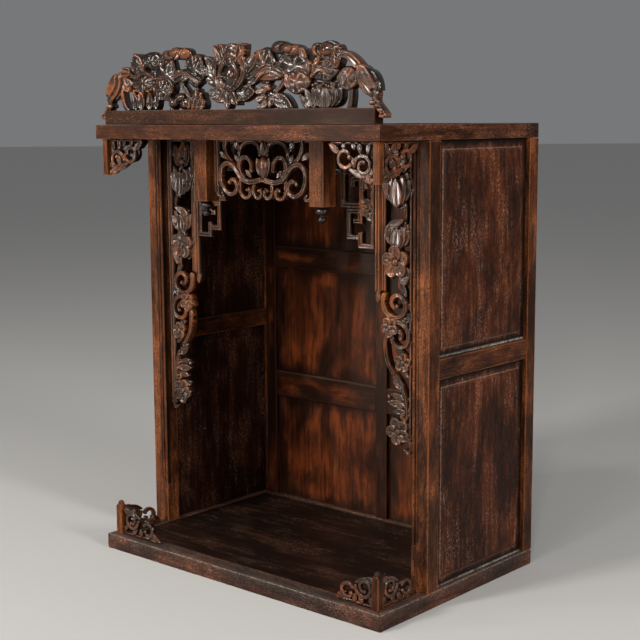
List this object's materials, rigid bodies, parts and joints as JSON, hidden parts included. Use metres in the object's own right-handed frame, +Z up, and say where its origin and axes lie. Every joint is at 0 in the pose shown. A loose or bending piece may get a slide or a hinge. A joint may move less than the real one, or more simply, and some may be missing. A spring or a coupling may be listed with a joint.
{
  "type": "household altar cabinet",
  "caption": "Tabletop household altar cabinet in dark carved hardwood: an open framed niche between two slabs, with a porch, pierced scroll hangings and a lotus crest.",
  "frame": {"origin": "centre of the underside of the base slab", "axes": "+Z up, the open front faces -Y, +X to the right seen from the front"},
  "size_m": [0.5, 0.332, 0.7],
  "materials": {
    "slab_wood": "old lacquered rosewood, worn, with dusty joints",
    "frame_wood": "old lacquered rosewood, red-brown, semi-gloss",
    "panel_wood": "dark rosewood board, dry grain",
    "back_wood": "orange-brown figured board, waxed",
    "carved_wood": "carved rosewood under dark gloss lacquer"
  },
  "bodies": {
    "root": {"back_panel_lower_left": "back_wood", "back_panel_lower_right": "back_wood", "back_panel_middle_left": "back_wood", "back_panel_middle_right": "back_wood", "back_panel_upper_left": "back_wood", "back_panel_upper_right": "back_wood", "back_rail_lower_left": "back_wood", "back_rail_lower_right": "back_wood", "back_rail_upper_left": "back_wood", "back_rail_upper_right": "back_wood", "back_stile_left": "back_wood", "back_stile_middle": "back_wood", "back_stile_right": "back_wood", "base_back_rail": "slab_wood", "base_bracket_front_left": "carved_wood", "base_bracket_front_right": "carved_wood", "base_bracket_side_left": "carved_wood", "base_bracket_side_right": "carved_wood", "base_front_rail": "slab_wood", "base_left_rail": "slab_wood", "base_post_left": "frame_wood", "base_post_right": "frame_wood", "base_right_rail": "slab_wood", "carved_strip_left": "carved_wood", "carved_strip_right": "carved_wood", "centre_panel": "carved_wood", "corner_drop_left": "frame_wood", "corner_drop_right": "frame_wood", "crest_carving": "carved_wood", "crest_rail": "frame_wood", "floor_board": "slab_wood", "fret_bracket_left": "carved_wood", "fret_bracket_right": "carved_wood", "front_post_left": "frame_wood", "front_post_right": "frame_wood", "hanging_post_left": "frame_wood", "hanging_post_right": "frame_wood", "rear_post_left": "frame_wood", "rear_post_right": "frame_wood", "side_panel_lower_left": "panel_wood", "side_panel_lower_right": "panel_wood", "side_panel_upper_left": "panel_wood", "side_panel_upper_right": "panel_wood", "side_rail_left": "frame_wood", "side_rail_right": "frame_wood", "spandrel_front_left": "carved_wood", "spandrel_front_right": "carved_wood", "spandrel_side_left": "carved_wood", "spandrel_side_right": "carved_wood", "top_back_rail": "slab_wood", "top_board": "slab_wood", "top_front_rail": "slab_wood", "top_left_rail": "slab_wood", "top_right_rail": "slab_wood"}
  },
  "joints": []
}
